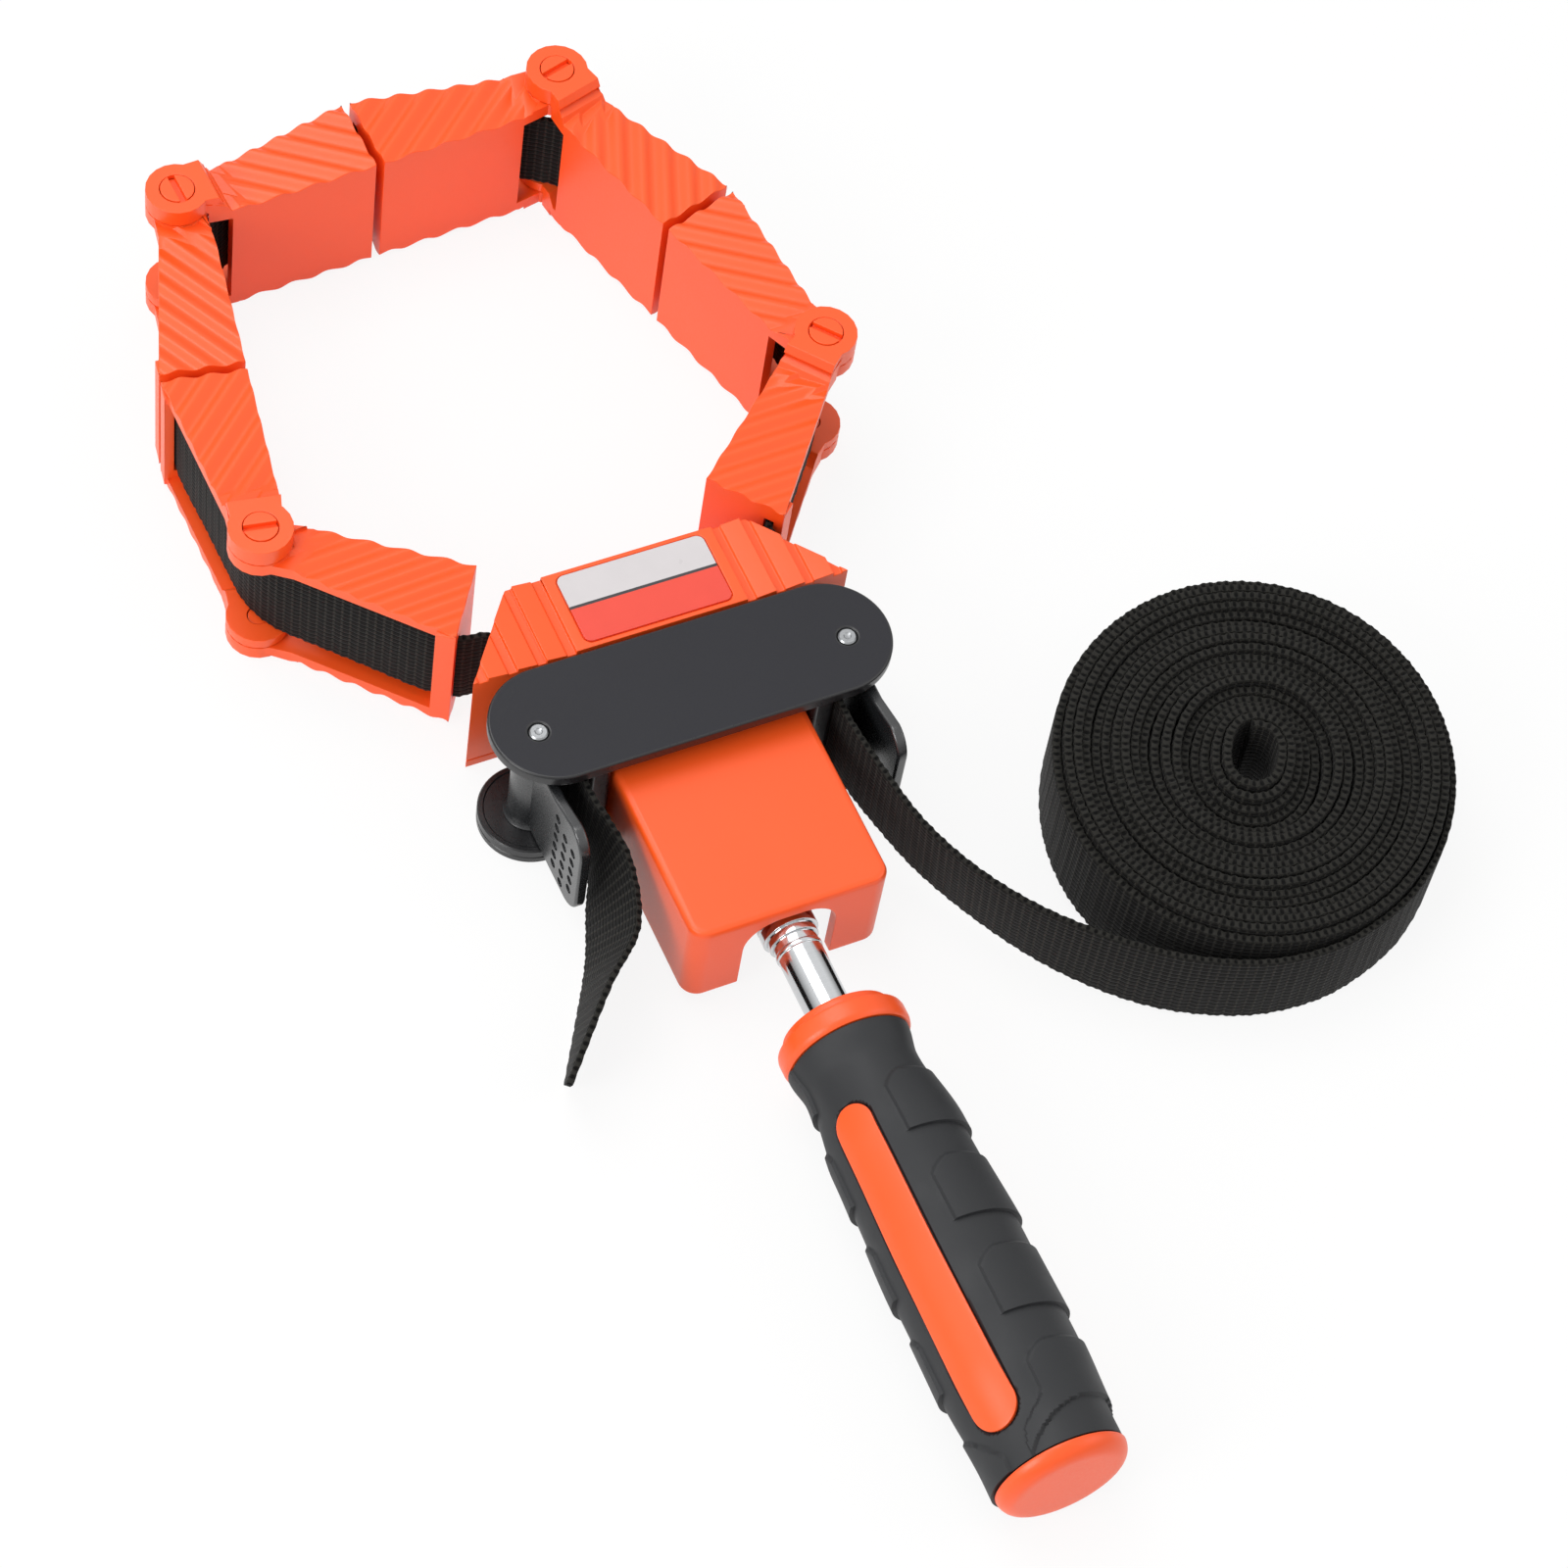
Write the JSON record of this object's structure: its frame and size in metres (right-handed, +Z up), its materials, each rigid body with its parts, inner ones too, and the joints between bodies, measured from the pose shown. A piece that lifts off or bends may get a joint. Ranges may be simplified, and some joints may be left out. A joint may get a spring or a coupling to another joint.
{
  "type": "band clamp",
  "caption": "Strap band clamp: a webbing loop through hinged corner jaws, tightened by a screw handle that draws back a bridge with cam levers, with the spare strap rolled up.",
  "frame": {"origin": "middle of the underside of the head, on the surface the clamp lies on", "axes": "+Y from the head towards the loop of jaws, the handle points to -Y; +Z up; +X to the right with the handle towards the viewer"},
  "size_m": [0.2646, 0.4081, 0.0445],
  "materials": {
    "orange_plastic": "satin moulded plastic",
    "grey_plastic": "satin moulded plastic",
    "black_plastic": "smooth moulded plastic",
    "black_rubber": "soft matte grip",
    "bright_steel": "polished plated",
    "zinc_steel": "zinc plated",
    "webbing": "woven black webbing",
    "label_film": "printed film, two flat tones, no text"
  },
  "bodies": {
    "housing": {"housing": "orange_plastic", "base_cover": "orange_plastic", "label_plate": "label_film", "thrust_washer": "zinc_steel", "strap_head_left": "webbing", "strap_head_right": "webbing"},
    "handle": {"screw_rod": "zinc_steel", "rod_sleeve": "bright_steel", "retaining_collar": "zinc_steel", "handle_core": "orange_plastic", "handle_grip": "black_rubber", "handle_end_cap": "orange_plastic"},
    "bridge": {"bridge_frame": "black_plastic", "bridge_plate": "grey_plastic", "cam_pin_left": "bright_steel", "cam_pin_right": "bright_steel", "screw_nut": "zinc_steel", "strap_bridge_left": "webbing", "strap_bridge_right": "webbing", "strap_tail": "webbing", "strap_free": "webbing", "strap_coil": "webbing"},
    "cam_left": {"cam_lever_left": "black_plastic"},
    "cam_right": {"cam_lever_right": "black_plastic"},
    "jaw_near_left_head": {"jaw_near_left_head": "orange_plastic", "strap_near_left_head": "webbing"},
    "jaw_near_left_side": {"jaw_near_left_side": "orange_plastic", "strap_near_left_side": "webbing", "pin_top_near_left": "orange_plastic", "pin_bottom_near_left": "orange_plastic"},
    "jaw_far_left_side": {"jaw_far_left_side": "orange_plastic", "strap_far_left_side": "webbing"},
    "jaw_far_left_end": {"jaw_far_left_end": "orange_plastic", "strap_far_left_end": "webbing", "pin_top_far_left": "orange_plastic", "pin_bottom_far_left": "orange_plastic"},
    "jaw_far_right_end": {"jaw_far_right_end": "orange_plastic", "strap_far_right_end": "webbing"},
    "jaw_far_right_side": {"jaw_far_right_side": "orange_plastic", "strap_far_right_side": "webbing", "pin_top_far_right": "orange_plastic", "pin_bottom_far_right": "orange_plastic"},
    "jaw_near_right_side": {"jaw_near_right_side": "orange_plastic", "strap_near_right_side": "webbing"},
    "jaw_near_right_head": {"jaw_near_right_head": "orange_plastic", "strap_near_right_head": "webbing", "pin_top_near_right": "orange_plastic", "pin_bottom_near_right": "orange_plastic"}
  },
  "joints": [
    {"name": "handle_turn", "type": "hinge", "parent": "housing", "child": "handle", "pos_m": [0, -0.1175, 0.0182], "axis": [0, 1, 0], "range_deg": [0, 5400]},
    {"name": "bridge_slide", "type": "slide", "parent": "housing", "child": "bridge", "axis": [0, -1, 0], "range_m": [0, 0.03]},
    {"name": "cam_left_release", "type": "hinge", "parent": "bridge", "child": "cam_left", "pos_m": [-0.0402, -0.0302, 0], "axis": [0, 0, -1], "range_deg": [0, 35]},
    {"name": "cam_right_release", "type": "hinge", "parent": "bridge", "child": "cam_right", "pos_m": [0.0402, -0.0302, 0], "axis": [0, 0, 1], "range_deg": [0, 35]},
    {"name": "head_flex_left", "type": "hinge", "parent": "housing", "child": "jaw_near_left_head", "pos_m": [-0.03935, 0.00365, 0], "axis": [0, 0, 1], "range_deg": [0, 20]},
    {"name": "corner_near_left", "type": "hinge", "parent": "jaw_near_left_head", "child": "jaw_near_left_side", "pos_m": [-0.08214, 0.0431, 0], "axis": [0, 0, 1], "range_deg": [0, 45]},
    {"name": "run_flex_left", "type": "hinge", "parent": "jaw_near_left_side", "child": "jaw_far_left_side", "pos_m": [-0.08404, 0.09683, 0], "axis": [0, 0, 1], "range_deg": [0, 15]},
    {"name": "corner_far_left", "type": "hinge", "parent": "jaw_far_left_side", "child": "jaw_far_left_end", "pos_m": [-0.06502, 0.1471, 0], "axis": [0, 0, 1], "range_deg": [0, 45]},
    {"name": "head_flex_right", "type": "hinge", "parent": "housing", "child": "jaw_near_right_head", "pos_m": [0.03875, 0.00445, 0], "axis": [0, 0, -1], "range_deg": [0, 20]},
    {"name": "corner_near_right", "type": "hinge", "parent": "jaw_near_right_head", "child": "jaw_near_right_side", "pos_m": [0.0709, 0.05199, 0], "axis": [0, 0, -1], "range_deg": [0, 45]},
    {"name": "run_flex_right", "type": "hinge", "parent": "jaw_near_right_side", "child": "jaw_far_right_side", "pos_m": [0.0657, 0.10549, 0], "axis": [0, 0, -1], "range_deg": [0, 15]},
    {"name": "corner_far_right", "type": "hinge", "parent": "jaw_far_right_side", "child": "jaw_far_right_end", "pos_m": [0.04022, 0.15282, 0], "axis": [0, 0, -1], "range_deg": [0, 45]}
  ],
  "couplings": [
    {"joint": "handle_turn", "follows": "bridge_slide", "rad_per_m": 3141.6}
  ]
}
